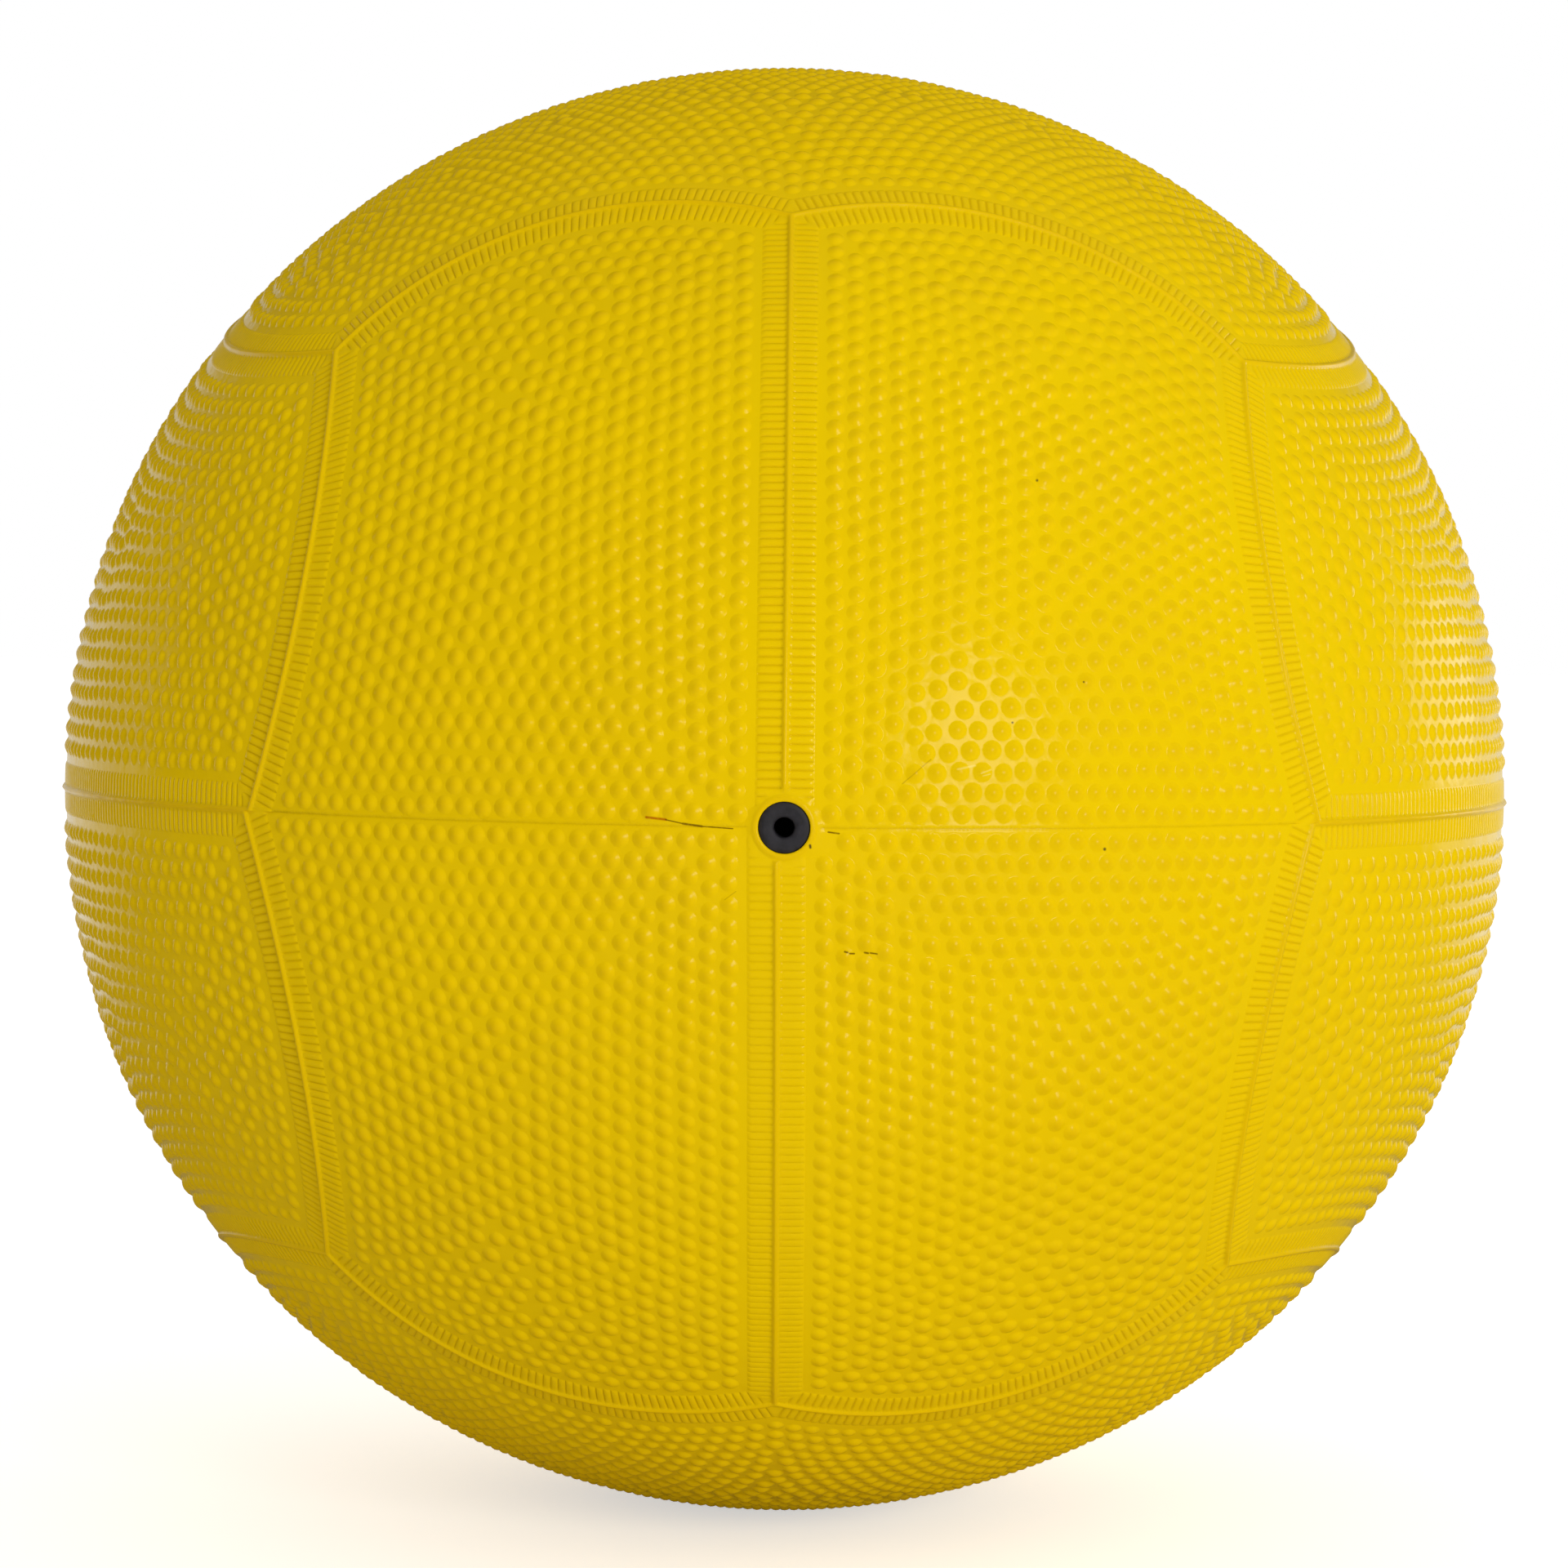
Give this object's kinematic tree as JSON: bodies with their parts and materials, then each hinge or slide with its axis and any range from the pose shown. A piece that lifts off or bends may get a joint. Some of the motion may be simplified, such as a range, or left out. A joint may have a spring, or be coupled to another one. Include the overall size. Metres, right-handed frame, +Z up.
{
  "type": "dodgeball",
  "caption": "Inflatable moulded rubber ball with a pebbled, seamed cover over a wound carcass and bladder, with a needle valve for inflation.",
  "frame": {"origin": "centre of the ball", "axes": "+Z up and square to the mould's parting plane, which is z = 0; the valve's axis runs along -Y; +X to the right of the valve as seen from in front of it"},
  "size_m": [0.1916, 0.1915, 0.1916],
  "materials": {
    "cover_rubber": "yellow moulded rubber, satin, pebbled",
    "nylon_thread": "wound nylon thread in latex",
    "bladder_rubber": "smooth black butyl rubber",
    "valve_rubber": "matte black rubber"
  },
  "bodies": {
    "root": {"cover_upper": "cover_rubber", "cover_lower": "cover_rubber", "nylon_winding": "nylon_thread", "bladder": "bladder_rubber", "valve_housing": "valve_rubber", "valve_plug": "valve_rubber"}
  },
  "joints": []
}
